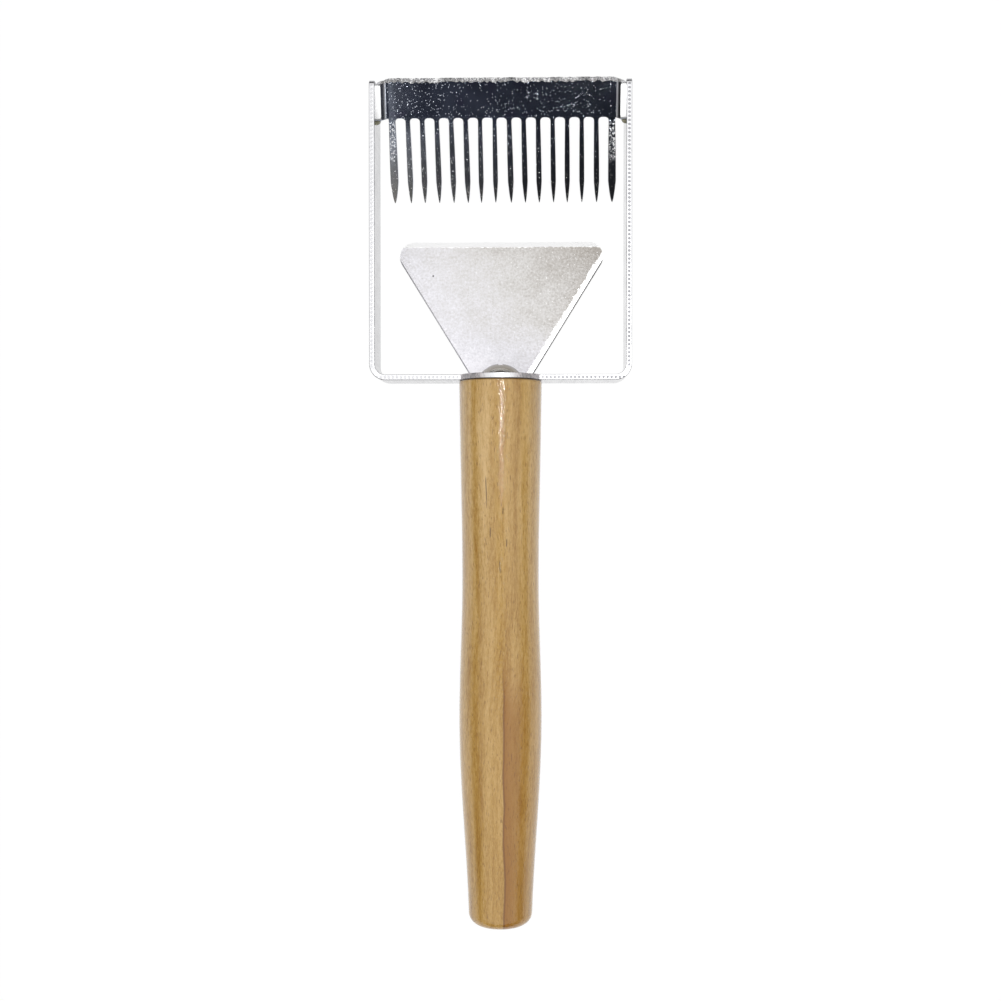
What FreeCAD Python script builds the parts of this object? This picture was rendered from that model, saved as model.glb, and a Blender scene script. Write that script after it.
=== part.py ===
import FreeCAD, Part
import math
import os

# Honey-uncapping fork with scraper, lying on its back as it rests on a table.
# Millimetres. +Y runs from the butt of the handle to the comb, +X across, +Z up.
# The origin is the middle of the footprint, at table height.

# Driving dimensions
OVERALL_LENGTH = 290.0
FRAME_WIDTH = 89.0
STRIP_DEPTH = 18.0        # width of the strip the frame is bent from, along Z
SHEET = 1.9               # thickness of the frame and comb sheet
SWELL_RADIUS = 14.1       # thickest part of the handle, which also touches the table
WOOD_LENGTH = 185.8
COMB_PITCH = 15.0         # degrees the comb leans back from the plane of the frame

# Heights along Y
BUTT_Y = -OVERALL_LENGTH / 2
WOOD_TOP_Y = BUTT_Y + WOOD_LENGTH
SEAT_TOP_Y = WOOD_TOP_Y + SHEET
COMB_TOP_Y = OVERALL_LENGTH / 2
ARM_TOP_Y = COMB_TOP_Y - 2.5
AXIS_Z = SWELL_RADIUS

# Handle: radius at a distance down from its top end
HANDLE_STATIONS = (
    (0.0, SWELL_RADIUS),
    (36.0, 13.5),
    (75.0, 13.15),
    (116.0, SWELL_RADIUS),
    (143.0, 13.15),
    (160.0, 12.05),
    (WOOD_LENGTH - 4.0, 10.9),
)
BUTT_ROUNDING = 4.0
SHOULDER_ROUNDING = 0.7

# Frame
SEAT_RADIUS = 14.0
BEND_OUTER_RADIUS = 5.5
ARM_CORNER_RADIUS = 2.0
SHEARED_EDGE = 0.25       # small round left on the sheet's long edges
ARM_INNER_X = FRAME_WIDTH / 2 - SHEET

# Screw
HEAD_RADIUS = 7.15
HEAD_HEIGHT = 3.8
SHANK_RADIUS = 2.6
SHANK_LENGTH = 14.0
THREAD_ROOT_RADIUS = 1.8
THREAD_PITCH = 2.2
THREAD_TURNS = 13
SCREW_TIP_LENGTH = 5.0
RECESS_WIDTH = 1.5
RECESS_SPAN = 6.4
RECESS_DEPTH = 2.2

# Scraper
BLADE_THICKNESS = 1.5
BLADE_FRONT_Z = 4.7
BLADE_FOOT_HALF = 10.5
BLADE_TOP_HALF = 39.4      # before its corners are rounded
BLADE_HEIGHT = 46.9
BLADE_CORNER_RADIUS = 5.2
BLADE_TOP_BEVEL = 1.8
BLADE_TOP_BEVEL_DROP = 0.7
BLADE_SIDE_BEVEL = 0.45
BLADE_SIDE_BEVEL_DROP = 0.4
WELD_LEG = 1.6

# Comb
TINES = 16
TINE_SPACING = 5.0
OUTER_TINE_STEP = 0.4     # how much further out the wide outer tines stand
PLATE_BAND = 13.4         # plate above the slots, measured down its own slope
TINE_LENGTH = 28.6
TINE_WIDTH = 1.75
OUTER_TINE_WIDTH = 2.5
TINE_TIP_WIDTH = 0.2
POINT_LENGTH = 7.2        # ground point at the end of each tine
POINT_FULLNESS = 0.77     # share of the tine's width left halfway down the point
TIP_THICKNESS = 0.35
TOP_BEVEL_WIDTH = 1.4
TOP_BEVEL_DROP = 1.0
EAR_HEIGHT = 6.2          # from the plate's front face to the ear's near edge
EAR_START = 1.8
EAR_END = 14.2
EAR_CORNER_RADIUS = 1.2
EAR_BEND_INNER = 1.3
EAR_NEAR_EDGE_Z = STRIP_DEPTH - 0.3
EAR_WELD_RADIUS = 1.3
EAR_WELD_LENGTH = 3.6


def vec(x, y, z):
    return FreeCAD.Vector(x, y, z)


def prism(points, thickness):
    """Close a flat polygon and thicken it along the given vector."""
    wire = Part.makePolygon(points + [points[0]])
    return Part.Face(wire).extrude(thickness)


def bar_along_y(radius, y_low, y_high):
    """Round bar on the handle's axis between two heights."""
    return Part.makeCylinder(radius, y_high - y_low, vec(0, y_low, AXIS_Z), vec(0, 1, 0))


def cone_along_y(radius_low, radius_high, y_low, y_high):
    """Cone frustum on the handle's axis between two heights."""
    return Part.makeCone(radius_low, radius_high, y_high - y_low, vec(0, y_low, AXIS_Z), vec(0, 1, 0))


def edges_along_profile(shape, z_levels, limit):
    """Edges lying flat at the given heights, and above the given Y."""
    chosen = []
    for edge in shape.Edges:
        box = edge.BoundBox
        flat = box.ZLength < 1e-6 and any(abs(box.ZMin - z) < 1e-6 for z in z_levels)
        if flat and box.YMin > limit:
            chosen.append(edge)
    return chosen


def make_handle():
    """Turned handle with a rounded butt and the pilot bore the screw fills."""
    top = vec(0, WOOD_TOP_Y, AXIS_Z)
    stations = [vec(radius, WOOD_TOP_Y - down, AXIS_Z) for down, radius in HANDLE_STATIONS]
    side = Part.BSplineCurve()
    side.interpolate(stations)
    last = stations[-1]
    flat_radius = last.x - BUTT_ROUNDING
    middle = BUTT_ROUNDING * math.sqrt(0.5)
    corner = Part.Arc(
        last,
        vec(flat_radius + middle, last.y - middle, AXIS_Z),
        vec(flat_radius, BUTT_Y, AXIS_Z),
    )
    centre = vec(0, BUTT_Y, AXIS_Z)
    outline = Part.Wire([
        Part.makeLine(top, stations[0]),
        side.toShape(),
        corner.toShape(),
        Part.makeLine(vec(flat_radius, BUTT_Y, AXIS_Z), centre),
        Part.makeLine(centre, top),
    ])
    body = Part.Face(outline).revolve(top, vec(0, 1, 0), 360)
    shoulder = [e for e in body.Edges if e.BoundBox.YMin > WOOD_TOP_Y - 1e-3]
    body = body.makeFillet(SHOULDER_ROUNDING, shoulder)
    return body.cut(screw_envelope())


def screw_levels():
    """Heights of the shank's end, the thread's end and the point."""
    shank_end = SEAT_TOP_Y - SHANK_LENGTH
    thread_end = shank_end - THREAD_PITCH * THREAD_TURNS
    return shank_end, thread_end, thread_end - SCREW_TIP_LENGTH


def screw_envelope():
    """Solid that the screw's shank, thread crests and point just fill."""
    _, thread_end, point = screw_levels()
    shank = bar_along_y(SHANK_RADIUS, thread_end, SEAT_TOP_Y)
    return shank.fuse(cone_along_y(0.0, SHANK_RADIUS, point, thread_end))


def make_handle_screw():
    """Domed head with a cross recess, plain shank, ridged thread and point."""
    shank_end, thread_end, point = screw_levels()
    sphere_radius = (HEAD_RADIUS ** 2 + HEAD_HEIGHT ** 2) / (2 * HEAD_HEIGHT)
    centre_y = SEAT_TOP_Y + HEAD_HEIGHT - sphere_radius
    dome = Part.makeSphere(sphere_radius, vec(0, centre_y, AXIS_Z))
    head = dome.common(bar_along_y(HEAD_RADIUS + 1, SEAT_TOP_Y, SEAT_TOP_Y + HEAD_HEIGHT + 1))
    screw = head.fuse(bar_along_y(SHANK_RADIUS, shank_end, SEAT_TOP_Y))
    half = THREAD_PITCH / 2
    for turn in range(THREAD_TURNS):
        crest_y = shank_end - half - turn * THREAD_PITCH
        upper = cone_along_y(SHANK_RADIUS, THREAD_ROOT_RADIUS, crest_y, crest_y + half)
        lower = cone_along_y(THREAD_ROOT_RADIUS, SHANK_RADIUS, crest_y - half, crest_y)
        screw = screw.fuse([upper, lower])
    screw = screw.fuse(cone_along_y(0.0, THREAD_ROOT_RADIUS, point, thread_end))
    recess_y = SEAT_TOP_Y + HEAD_HEIGHT - RECESS_DEPTH
    for span_x, span_z in ((RECESS_SPAN, RECESS_WIDTH), (RECESS_WIDTH, RECESS_SPAN)):
        corner = vec(-span_x / 2, recess_y, AXIS_Z - span_z / 2)
        screw = screw.cut(Part.makeBox(span_x, RECESS_DEPTH + 1, span_z, corner))
    return screw.removeSplitter()


def u_profile(half_width, base_y, radius):
    """Wire of a U with round corners, closed across its open end."""
    lean = radius * (1 - math.sqrt(0.5))
    left = -half_width
    right = half_width
    parts = [
        Part.makeLine(vec(left, ARM_TOP_Y, 0), vec(left, base_y + radius, 0)),
        Part.Arc(
            vec(left, base_y + radius, 0),
            vec(left + lean, base_y + lean, 0),
            vec(left + radius, base_y, 0),
        ).toShape(),
        Part.makeLine(vec(left + radius, base_y, 0), vec(right - radius, base_y, 0)),
        Part.Arc(
            vec(right - radius, base_y, 0),
            vec(right - lean, base_y + lean, 0),
            vec(right, base_y + radius, 0),
        ).toShape(),
        Part.makeLine(vec(right, base_y + radius, 0), vec(right, ARM_TOP_Y, 0)),
        Part.makeLine(vec(right, ARM_TOP_Y, 0), vec(left, ARM_TOP_Y, 0)),
    ]
    return Part.Wire(parts)


def make_frame():
    """Strip bent to a U, with a round seat for the handle in its base."""
    outer = Part.Face(u_profile(FRAME_WIDTH / 2, WOOD_TOP_Y, BEND_OUTER_RADIUS))
    inner = Part.Face(u_profile(ARM_INNER_X, SEAT_TOP_Y, BEND_OUTER_RADIUS - SHEET))
    strip = outer.cut(inner).extrude(vec(0, 0, STRIP_DEPTH))
    tips = [
        e for e in strip.Edges
        if e.BoundBox.XLength > SHEET / 2 and e.BoundBox.YMin > ARM_TOP_Y - 1e-6
    ]
    strip = strip.makeFillet(ARM_CORNER_RADIUS, tips)
    long_edges = edges_along_profile(strip, (0.0, STRIP_DEPTH), WOOD_TOP_Y - 1)
    strip = strip.makeFillet(SHEARED_EDGE, long_edges)
    seat = bar_along_y(SEAT_RADIUS, WOOD_TOP_Y, SEAT_TOP_Y)
    seat = seat.makeFillet(SHEARED_EDGE, [e for e in seat.Edges if e.BoundBox.YLength < 1e-6])
    hole = bar_along_y(SHANK_RADIUS, WOOD_TOP_Y - 1, SEAT_TOP_Y + 1)
    return strip.fuse(seat).cut(hole).removeSplitter()


def tine_face(centre, width):
    """Flat tine with parallel sides and a rounded, sharp point."""
    shoulder = PLATE_BAND + TINE_LENGTH - POINT_LENGTH
    halfway = shoulder + POINT_LENGTH / 2
    tip = PLATE_BAND + TINE_LENGTH
    half = width / 2
    tip_half = TINE_TIP_WIDTH / 2

    def at(side, reach, down):
        return vec(centre + side * reach, -down, 0)

    edges = [Part.makeLine(at(1, half, 0), at(-1, half, 0))]
    for side in (-1, 1):
        edges.append(Part.makeLine(at(side, half, 0), at(side, half, shoulder)))
        edges.append(Part.Arc(
            at(side, half, shoulder),
            at(side, half * POINT_FULLNESS, halfway),
            at(side, tip_half, tip),
        ).toShape())
    edges.append(Part.makeLine(at(-1, tip_half, tip), at(1, tip_half, tip)))
    return Part.Face(Part.Wire(Part.__sortEdges__(edges)))


def make_web(centre):
    """Bit of plate between two tines, cut to the round top of their slot."""
    radius = (TINE_SPACING - TINE_WIDTH) / 2
    corner = vec(centre - TINE_SPACING / 2, -PLATE_BAND - radius, -SHEET)
    web = Part.makeBox(TINE_SPACING, radius, SHEET, corner)
    return web.cut(Part.makeCylinder(radius, SHEET, vec(centre, -PLATE_BAND - radius, -SHEET)))


def make_comb_blank(flat_half):
    """Flat plate with its tines, before the ends are folded."""
    plate = Part.makeBox(2 * flat_half, PLATE_BAND, SHEET, vec(-flat_half, -PLATE_BAND, -SHEET))
    outer_centre = TINE_SPACING * (TINES - 1) / 2
    pieces = []
    for index in range(TINES):
        centre = index * TINE_SPACING - outer_centre
        width = TINE_WIDTH
        if index > 0:
            pieces.append(make_web(centre - TINE_SPACING / 2))
        if index in (0, TINES - 1):
            centre += math.copysign(OUTER_TINE_STEP, centre)
            width = OUTER_TINE_WIDTH
        pieces.append(tine_face(centre, width).extrude(vec(0, 0, -SHEET)))
    return plate.fuse(pieces)


def comb_side_profile(flat_half):
    """Side view of the comb: top edge bevelled in front, tips thinned from behind."""
    shoulder = PLATE_BAND + TINE_LENGTH - POINT_LENGTH
    tip = PLATE_BAND + TINE_LENGTH
    return prism([
        vec(-flat_half, 0, -TOP_BEVEL_DROP),
        vec(-flat_half, -TOP_BEVEL_WIDTH, 0),
        vec(-flat_half, -tip, 0),
        vec(-flat_half, -tip, -TIP_THICKNESS),
        vec(-flat_half, -shoulder, -SHEET),
        vec(-flat_half, 0, -SHEET),
    ], vec(2 * flat_half, 0, 0))


def make_comb():
    """Plate with tines and two ears, built flat and then leaned back."""
    flat_half = ARM_INNER_X - SHEET - EAR_BEND_INNER
    comb = make_comb_blank(flat_half).common(comb_side_profile(flat_half))
    comb = comb.fuse([make_ear(sign, flat_half) for sign in (-1, 1)])
    comb = comb.removeSplitter()
    comb.rotate(vec(0, 0, 0), vec(1, 0, 0), COMB_PITCH)
    comb.translate(comb_origin())
    return comb


def comb_origin():
    """Where the line of the comb's top front edge lies, before bevelling."""
    slope = math.radians(COMB_PITCH)
    y = COMB_TOP_Y - SHEET * math.sin(slope)
    z = EAR_NEAR_EDGE_Z - EAR_HEIGHT * math.cos(slope) + EAR_START * math.sin(slope)
    return vec(0, y, z)


def make_ear(sign, flat_half):
    """Quarter bend and upright flange, on the side given by the sign."""
    bend_outer = EAR_BEND_INNER + SHEET
    bend_centre = vec(sign * flat_half, 0, EAR_BEND_INNER)
    middle = math.sqrt(0.5)
    inner_x = sign * (flat_half + EAR_BEND_INNER)
    outer_x = sign * ARM_INNER_X
    profile = Part.Wire([
        Part.Arc(
            vec(sign * flat_half, 0, -SHEET),
            bend_centre + vec(sign * bend_outer * middle, 0, -bend_outer * middle),
            vec(outer_x, 0, EAR_BEND_INNER),
        ).toShape(),
        Part.makeLine(vec(outer_x, 0, EAR_BEND_INNER), vec(outer_x, 0, EAR_HEIGHT)),
        Part.makeLine(vec(outer_x, 0, EAR_HEIGHT), vec(inner_x, 0, EAR_HEIGHT)),
        Part.makeLine(vec(inner_x, 0, EAR_HEIGHT), vec(inner_x, 0, EAR_BEND_INNER)),
        Part.Arc(
            vec(inner_x, 0, EAR_BEND_INNER),
            bend_centre + vec(sign * EAR_BEND_INNER * middle, 0, -EAR_BEND_INNER * middle),
            vec(sign * flat_half, 0, 0),
        ).toShape(),
        Part.makeLine(vec(sign * flat_half, 0, 0), vec(sign * flat_half, 0, -SHEET)),
    ])
    ear = Part.Face(profile).extrude(vec(0, EAR_START - EAR_END, 0))
    ear.translate(vec(0, -EAR_START, 0))
    near_corners = [
        e for e in ear.Edges
        if e.BoundBox.ZMin > EAR_HEIGHT - 1e-6 and e.BoundBox.XLength > SHEET / 2
    ]
    return ear.makeFillet(EAR_CORNER_RADIUS, near_corners)


def make_scraper():
    """Trapezoid blade standing on the seat, with ground top and side edges."""
    foot_y = SEAT_TOP_Y
    top_y = foot_y + BLADE_HEIGHT
    back_z = BLADE_FRONT_Z - BLADE_THICKNESS
    blade = prism([
        vec(-BLADE_FOOT_HALF, foot_y, back_z),
        vec(BLADE_FOOT_HALF, foot_y, back_z),
        vec(BLADE_TOP_HALF, top_y, back_z),
        vec(-BLADE_TOP_HALF, top_y, back_z),
    ], vec(0, 0, BLADE_THICKNESS))
    corners = [
        e for e in blade.Edges
        if e.BoundBox.ZLength > BLADE_THICKNESS / 2 and e.BoundBox.YMin > top_y - 1e-3
    ]
    blade = blade.makeFillet(BLADE_CORNER_RADIUS, corners)
    lean = math.atan2(BLADE_TOP_HALF - BLADE_FOOT_HALF, BLADE_HEIGHT)
    blade = blade.cut(bevel_cutter(
        vec(0, top_y, BLADE_FRONT_Z), 0.0, BLADE_TOP_BEVEL, BLADE_TOP_BEVEL_DROP))
    for sign in (-1, 1):
        on_side = vec(sign * BLADE_FOOT_HALF, foot_y, BLADE_FRONT_Z)
        turn = -sign * (lean + math.pi / 2)
        blade = blade.cut(bevel_cutter(on_side, turn, BLADE_SIDE_BEVEL, BLADE_SIDE_BEVEL_DROP))
    return blade


def bevel_cutter(edge_point, turn, width, drop):
    """Wedge that grinds a bevel whose outward side is +Y turned about Z."""
    reach = 2 * OVERALL_LENGTH
    wedge = prism([
        vec(-reach / 2, -width, 0),
        vec(-reach / 2, 0, -drop),
        vec(-reach / 2, width, -drop),
        vec(-reach / 2, width, 1),
        vec(-reach / 2, -width, 1),
    ], vec(reach, 0, 0))
    wedge.rotate(vec(0, 0, 0), vec(0, 0, 1), math.degrees(turn))
    wedge.translate(edge_point)
    return wedge


def make_scraper_weld():
    """Fillet bead along the back of the scraper's foot."""
    back_z = BLADE_FRONT_Z - BLADE_THICKNESS
    bead = Part.makeCylinder(
        WELD_LEG, 2 * BLADE_FOOT_HALF - 2, vec(1 - BLADE_FOOT_HALF, SEAT_TOP_Y, back_z), vec(1, 0, 0),
    )
    corner = vec(-BLADE_FOOT_HALF, SEAT_TOP_Y, back_z - 2 * WELD_LEG)
    bead = bead.common(Part.makeBox(2 * BLADE_FOOT_HALF, 2 * WELD_LEG, 2 * WELD_LEG, corner))
    return bead.makeFillet(WELD_LEG / 3, end_rims(bead))


def end_rims(bead):
    """Curved edges that close the two ends of a bead lying along X."""
    return [e for e in bead.Edges if e.BoundBox.XLength < 1e-6 and not is_straight(e)]


def is_straight(edge):
    return isinstance(edge.Curve, Part.Line)


def make_ear_weld(sign):
    """Bead in the corner between the lower end of an ear and the arm."""
    slope = math.radians(COMB_PITCH)
    down = vec(0, -math.cos(slope), -math.sin(slope))
    out = vec(0, -math.sin(slope), math.cos(slope))
    start = comb_origin() + down * EAR_END + out * (EAR_BEND_INNER + 0.2)
    start.x = sign * ARM_INNER_X
    bead = Part.makeCylinder(EAR_WELD_RADIUS, EAR_WELD_LENGTH, start, out)
    reach = 4 * EAR_WELD_LENGTH
    keep = Part.makeBox(reach, reach, reach, vec(-reach / 2, -reach, -reach / 2))
    keep.rotate(vec(0, 0, 0), vec(1, 0, 0), COMB_PITCH)
    keep.translate(start - vec(sign * reach / 2, 0, 0))
    return bead.common(keep)


def main():
    os.makedirs("parts", exist_ok=True)
    parts = {
        "handle": make_handle(),
        "frame": make_frame(),
        "comb": make_comb(),
        "scraper": make_scraper(),
        "handle_screw": make_handle_screw(),
        "scraper_weld": make_scraper_weld(),
        "ear_weld_left": make_ear_weld(-1),
        "ear_weld_right": make_ear_weld(1),
    }
    for name, shape in parts.items():
        shape.exportStep("parts/" + name + ".step")


main()
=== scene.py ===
"""Honey-uncapping fork with scraper: finishes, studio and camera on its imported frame."""
import math
import random

import bmesh
import bpy
from bpy.props import FloatProperty, StringProperty
from mathutils import Matrix, Vector


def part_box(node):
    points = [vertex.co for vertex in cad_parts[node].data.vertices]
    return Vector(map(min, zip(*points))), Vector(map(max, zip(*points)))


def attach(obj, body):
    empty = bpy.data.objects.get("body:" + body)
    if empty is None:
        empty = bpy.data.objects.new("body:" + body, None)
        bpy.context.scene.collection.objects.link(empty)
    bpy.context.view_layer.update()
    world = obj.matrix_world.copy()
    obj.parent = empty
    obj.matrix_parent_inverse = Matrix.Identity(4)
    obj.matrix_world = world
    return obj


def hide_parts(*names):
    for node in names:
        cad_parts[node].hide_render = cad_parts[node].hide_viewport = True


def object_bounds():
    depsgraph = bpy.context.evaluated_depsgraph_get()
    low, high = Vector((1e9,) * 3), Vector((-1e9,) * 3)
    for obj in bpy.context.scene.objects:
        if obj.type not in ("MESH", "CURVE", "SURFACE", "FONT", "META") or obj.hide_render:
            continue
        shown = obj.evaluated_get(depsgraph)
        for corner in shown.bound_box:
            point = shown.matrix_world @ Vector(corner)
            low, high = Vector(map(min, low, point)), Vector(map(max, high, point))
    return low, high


bl_info = {
    "name": "Uncapping Fork Finisher",
    "version": (1, 0, 0),
    "blender": (4, 5, 0),
    "location": "View3D > Sidebar > Uncapping Fork",
    "description": "Finishes each piece of a honey-uncapping fork and sets up its studio",
    "category": "Object",
}

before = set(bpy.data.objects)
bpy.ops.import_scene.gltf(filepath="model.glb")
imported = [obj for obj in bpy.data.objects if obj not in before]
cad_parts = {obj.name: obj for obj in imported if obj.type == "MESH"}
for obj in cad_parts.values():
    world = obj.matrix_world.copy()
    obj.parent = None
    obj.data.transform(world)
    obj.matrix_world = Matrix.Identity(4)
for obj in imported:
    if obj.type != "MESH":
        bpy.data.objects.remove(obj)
CAD_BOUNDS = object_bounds()
MM = 0.001

# Places taken from the frame, in metres
WOOD_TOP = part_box("handle")[1]
AXIS_Z = (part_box("handle")[0].z + WOOD_TOP.z) / 2

# The blade and the strip, in millimetres
BLADE_TOP_HALF = 39.4         # before its corners are rounded
BLADE_FOOT_HALF = 10.5
BLADE_SPECK = Vector((-23.7, -11.7))    # a dark fleck, from the middle of the top edge
STRIP_THICKNESS = 1.9
SEAT_EDGE = (14.4, 13.6)      # the seat's rim fades out between these distances from the axis
BEND_START = 4.0              # above the base, where the arms' marks take over
SHEAR_PITCH = 1.37
SHEAR_RING = 0.26             # radius of each round shear mark
SHEAR_LINE = (0.26, 0.05)     # half-widths from the outside to the full depth of its line

# The wood, in millimetres along Y, and the height above which its checks show
WOOD_DEEPENS = (-10.0, -100.0)
GROWTH_LINE_SHOWS = (-48.0, -72.0)
WOOD_FRONT = (20.0, 22.0)

# Short checks and knocks in the lacquered wood, in millimetres: x, middle y, length, lean
WOOD_CHECKS = (
    (-4.4, 3.6, 10.0, -0.04),
    (-3.0, -10.5, 4.0, 0.0),
    (1.2, -3.5, 2.2, 0.1),
    (2.4, -14.0, 3.0, 0.05),
    (0.2, -22.0, 5.0, -0.05),
)

# The comb, in millimetres in its own flat frame
COMB_TILT = math.radians(15.0)
COMB_SHEET = 1.9
COMB_BAND = 13.4
COMB_BEND_INNER = 1.3
COMB_BEND_LENGTH = COMB_BEND_INNER * math.pi / 2
COMB_FLAT_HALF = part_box("comb")[1].x / MM - COMB_SHEET - COMB_BEND_INNER
COMB_EAR_HEIGHT = 6.2
COMB_EAR_TOP = COMB_EAR_HEIGHT - COMB_BEND_INNER      # above the end of the bend
COMB_EAR_START = 1.8
COMB_EAR_END = 14.2
COMB_EAR_CORNER = 1.2
COMB_BEVEL_WIDTH = 1.3
COMB_BEVEL_DROP = 0.9
COMB_BEVEL_FADE = 0.4         # before the bends, over which the bevel runs out
COMB_BEVEL_RAGGED = 0.30
COMB_EASED = 0.12             # least bevel and drop left on the ears
COMB_BURR = 0.08
COMB_CHAMFER = 0.15
COMB_SEED = 5
TINE_LENGTH = 28.6
TINE_POINT = 7.2
TINE_TIP_THICKNESS = 0.35
TINE_FLARE = 1.15
TINE_EMBEDDED = 0.6           # how far each tine reaches up into the plate
TINE_FRONT = -0.02            # the tines' front lies just behind the plate's
TINE_NECK = 0.88              # share of its width at a tine's root
TINE_SWELL = 0.17             # share gained below the neck
TINE_NECK_LENGTH = 2.0
TINE_SWELL_LENGTH = 15.0
TINE_POINT_FULLNESS = 0.55    # power of the point's outline: lower is fuller
TINE_TIP_HALF = 0.09
TINE_CHAMFER = 0.16
INNER_TINE_WIDTH = 1.72
OUTER_TINE_WIDTH = 2.55
OUTER_GLINTS_X = (36.4, 37.2)
OUTER_GLINTS_Y = (117.0, 121.0, 129.0, 131.0)
COMB_REACH = COMB_BAND + TINE_LENGTH
COMB_ORIGIN = Vector((
    0.0,
    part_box("comb")[1].y - COMB_SHEET * MM * math.sin(COMB_TILT),
    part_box("comb")[0].z + (COMB_REACH * math.sin(COMB_TILT) + TINE_TIP_THICKNESS * math.cos(COMB_TILT)) * MM,
))
TINE_ROOT_Y = COMB_ORIGIN.y - COMB_BAND * MM * math.cos(COMB_TILT)
TINE_TIP_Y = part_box("comb")[0].y

# The studio, in metres, measured from the middle of the tool or from the camera
VIEW_MIDDLE_Y = -0.0001
KEY_PLACE = Vector((0.046, 0.066, 0.455))
KEY_SIZE = 0.022
TABLE_SIZE = 3.0
TABLE_GAP = 0.0001            # keeps the table clear of the tool's lowest point
CAMERA_BODY_WIDTH = 0.22
CAMERA_BODY_DEPTH = 0.16
CAMERA_BODY_PLACE = Vector((0.0, -0.018, 0.01))
SENSOR_WIDTH = 36.0           # millimetres

# Heights on the sky's unit sphere where the dim walls end and the ceiling is full white
WALL_TOP = 0.38
CEILING_START = 0.54

WHITE = "#FFFFFF"
NOISE = (0.3, 0.7)            # most of a noise lies between these


# ---------------------------------------------------------------- helpers

def linear(hex_code):
    """Linear RGBA of an sRGB hex colour such as '#BB9863'."""
    digits = hex_code.lstrip("#")
    channels = [int(digits[i:i + 2], 16) / 255 for i in (0, 2, 4)]
    return [c / 12.92 if c <= 0.04045 else ((c + 0.055) / 1.055) ** 2.4 for c in channels] + [1.0]


def add(tree, kind, inputs=None, **settings):
    """Add a node with its settings, and set or link its inputs by name or number."""
    made = tree.nodes.new(kind)
    for name, value in settings.items():
        setattr(made, name, value)
    for key, value in (inputs or {}).items():
        if isinstance(value, bpy.types.NodeSocket):
            tree.links.new(value, made.inputs[key])
        else:
            made.inputs[key].default_value = value
    return made


def new_material(name):
    """Empty material with its output, and the object coordinates in millimetres."""
    material = bpy.data.materials.new(name)
    material.use_nodes = True
    tree = material.node_tree
    tree.nodes.clear()
    place = add(tree, "ShaderNodeTexCoord")
    mm = add(tree, "ShaderNodeVectorMath", {0: place.outputs["Object"], "Scale": 1 / MM}, operation="SCALE")
    return material, tree, mm.outputs[0]


def ramp(tree, value, stops):
    """Colour ramp through (position, hex colour) stops."""
    made = add(tree, "ShaderNodeValToRGB", {0: value})
    elements = made.color_ramp.elements
    while len(elements) < len(stops):
        elements.new(1.0)
    for element, (position, hex_code) in zip(elements, stops):
        element.position = position
        element.color = linear(hex_code)
    return made.outputs[0]


def span(tree, value, low, high, to_low=0.0, to_high=1.0, smooth=False):
    """Map a value from one range to another, held at the ends."""
    made = add(
        tree, "ShaderNodeMapRange",
        {0: value, 1: low, 2: high, 3: to_low, 4: to_high},
        interpolation_type="SMOOTHSTEP" if smooth else "LINEAR",
    )
    return made.outputs[0]


def noise(tree, where, size_mm, stretch=(1, 1, 1), detail=3.0, roughness=0.5):
    """Noise whose grains are about size_mm across, longer along a stretched axis."""
    scale = [1 / (size_mm * s) for s in stretch]
    placed = add(tree, "ShaderNodeVectorMath", {0: where, 1: scale}, operation="MULTIPLY")
    made = add(
        tree, "ShaderNodeTexNoise",
        {"Vector": placed.outputs[0], "Scale": 1.0, "Detail": detail, "Roughness": roughness},
    )
    return made.outputs["Fac"]


def maths(tree, operation, a, b=0.0):
    """One Math node."""
    return add(tree, "ShaderNodeMath", {0: a, 1: b}, operation=operation).outputs[0]


def joined_by(tree, operation, values):
    """Values taken together in turn by one operation."""
    result = values[0]
    for value in values[1:]:
        result = maths(tree, operation, result, value)
    return result


def times(tree, *factors):
    """Product of values."""
    return joined_by(tree, "MULTIPLY", factors)


def plus(tree, *terms):
    """Sum of values."""
    return joined_by(tree, "ADD", terms)


def most(tree, *masks):
    """Largest of several masks at each point."""
    return joined_by(tree, "MAXIMUM", masks)


def minus(tree, a, b):
    """Difference of two values."""
    return maths(tree, "SUBTRACT", a, b)


def unsigned(tree, value):
    """Value without its sign."""
    return maths(tree, "ABSOLUTE", value)


def blend(tree, factor, a, b, how="MIX"):
    """Mix two colours by a factor."""
    made = add(
        tree, "ShaderNodeMix", {0: factor, 6: a, 7: b},
        data_type="RGBA", blend_type=how, clamp_factor=True,
    )
    return made.outputs[2]


def bump(tree, height, depth_mm, strength=1.0, under=None):
    """Bump whose full height is depth_mm."""
    inputs = {"Height": height, "Distance": depth_mm * MM, "Strength": strength}
    if under is not None:
        inputs["Normal"] = under
    return add(tree, "ShaderNodeBump", inputs).outputs[0]


def surface(tree, **sockets):
    """Principled surface with its sockets given by name, joined to the output."""
    inputs = {name.replace("_", " "): value for name, value in sockets.items()}
    shader = add(tree, "ShaderNodeBsdfPrincipled", inputs)
    add(tree, "ShaderNodeOutputMaterial", {"Surface": shader.outputs[0]})


def axes(tree, vector):
    """X, Y and Z of a vector."""
    made = add(tree, "ShaderNodeSeparateXYZ", {0: vector})
    return made.outputs[0], made.outputs[1], made.outputs[2]


def face_direction(tree):
    """X, Y and Z of the face's own direction, without smoothing."""
    return axes(tree, add(tree, "ShaderNodeNewGeometry").outputs["True Normal"])


def dress(node_name, material):
    """Give a CAD node its material."""
    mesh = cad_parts[node_name].data
    mesh.materials.clear()
    mesh.materials.append(material)


def shifted(tree, where, x_shift):
    """Coordinates moved along X by a varying amount."""
    offset = add(tree, "ShaderNodeCombineXYZ", {0: x_shift})
    return add(tree, "ShaderNodeVectorMath", {0: where, 1: offset.outputs[0]}, operation="ADD").outputs[0]


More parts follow.
